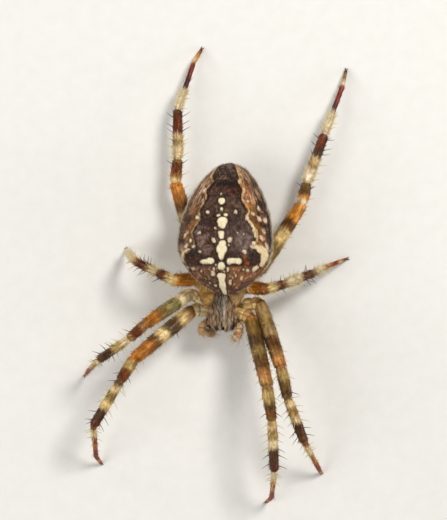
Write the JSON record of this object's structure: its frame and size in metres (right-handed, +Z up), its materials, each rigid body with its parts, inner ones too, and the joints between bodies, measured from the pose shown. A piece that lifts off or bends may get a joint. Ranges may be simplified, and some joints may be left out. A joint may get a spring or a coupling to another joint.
{
  "type": "garden cross spider model",
  "caption": "Life-size still model of an adult orb weaver spider standing on the floor with its legs spread, front pairs forward.",
  "frame": {"origin": "on the floor, under the middle of the bounding box of the whole animal, legs included", "axes": "+Z up from the floor, the head points towards -Y, the spider's left side is +X"},
  "size_m": [0.0236, 0.0403, 0.0089],
  "materials": {
    "abdomen": "satin cuticle, chocolate brown folium with cream cross",
    "carapace": "satin cuticle under grey white hair",
    "sternum": "satin dark brown cuticle",
    "spinnerets": "dull brown",
    "chelicera": "smooth amber cuticle",
    "palp": "pale translucent cuticle",
    "eye": "wet black",
    "leg_coxa": "pale cuticle",
    "leg_femur": "amber and olive cuticle",
    "leg_patella": "red brown cuticle",
    "leg_tibia": "cream cuticle with dark rings",
    "leg_metatarsus": "rust and cream cuticle"
  },
  "bodies": {
    "root": {"abdomen": "abdomen", "carapace": "carapace", "sternum": "sternum", "pedicel": "sternum", "spinnerets": "spinnerets", "chelicera_left": "chelicera", "palp_left": "palp", "chelicera_right": "chelicera", "palp_right": "palp", "eye_anterior_median_left": "eye", "eye_anterior_median_right": "eye", "eye_posterior_median_left": "eye", "eye_posterior_median_right": "eye", "eye_anterior_lateral_left": "eye", "eye_anterior_lateral_right": "eye", "eye_posterior_lateral_left": "eye", "eye_posterior_lateral_right": "eye", "leg_left_1_coxa": "leg_coxa", "leg_left_1_femur": "leg_femur", "leg_left_1_patella": "leg_patella", "leg_left_1_tibia": "leg_tibia", "leg_left_1_metatarsus": "leg_metatarsus", "leg_left_2_coxa": "leg_coxa", "leg_left_2_femur": "leg_femur", "leg_left_2_patella": "leg_patella", "leg_left_2_tibia": "leg_tibia", "leg_left_2_metatarsus": "leg_metatarsus", "leg_left_3_coxa": "leg_coxa", "leg_left_3_femur": "leg_femur", "leg_left_3_patella": "leg_patella", "leg_left_3_tibia": "leg_tibia", "leg_left_3_metatarsus": "leg_metatarsus", "leg_left_4_coxa": "leg_coxa", "leg_left_4_femur": "leg_femur", "leg_left_4_patella": "leg_patella", "leg_left_4_tibia": "leg_tibia", "leg_left_4_metatarsus": "leg_metatarsus", "leg_right_1_coxa": "leg_coxa", "leg_right_1_femur": "leg_femur", "leg_right_1_patella": "leg_patella", "leg_right_1_tibia": "leg_tibia", "leg_right_1_metatarsus": "leg_metatarsus", "leg_right_2_coxa": "leg_coxa", "leg_right_2_femur": "leg_femur", "leg_right_2_patella": "leg_patella", "leg_right_2_tibia": "leg_tibia", "leg_right_2_metatarsus": "leg_metatarsus", "leg_right_3_coxa": "leg_coxa", "leg_right_3_femur": "leg_femur", "leg_right_3_patella": "leg_patella", "leg_right_3_tibia": "leg_tibia", "leg_right_3_metatarsus": "leg_metatarsus", "leg_right_4_coxa": "leg_coxa", "leg_right_4_femur": "leg_femur", "leg_right_4_patella": "leg_patella", "leg_right_4_tibia": "leg_tibia", "leg_right_4_metatarsus": "leg_metatarsus"}
  },
  "joints": []
}
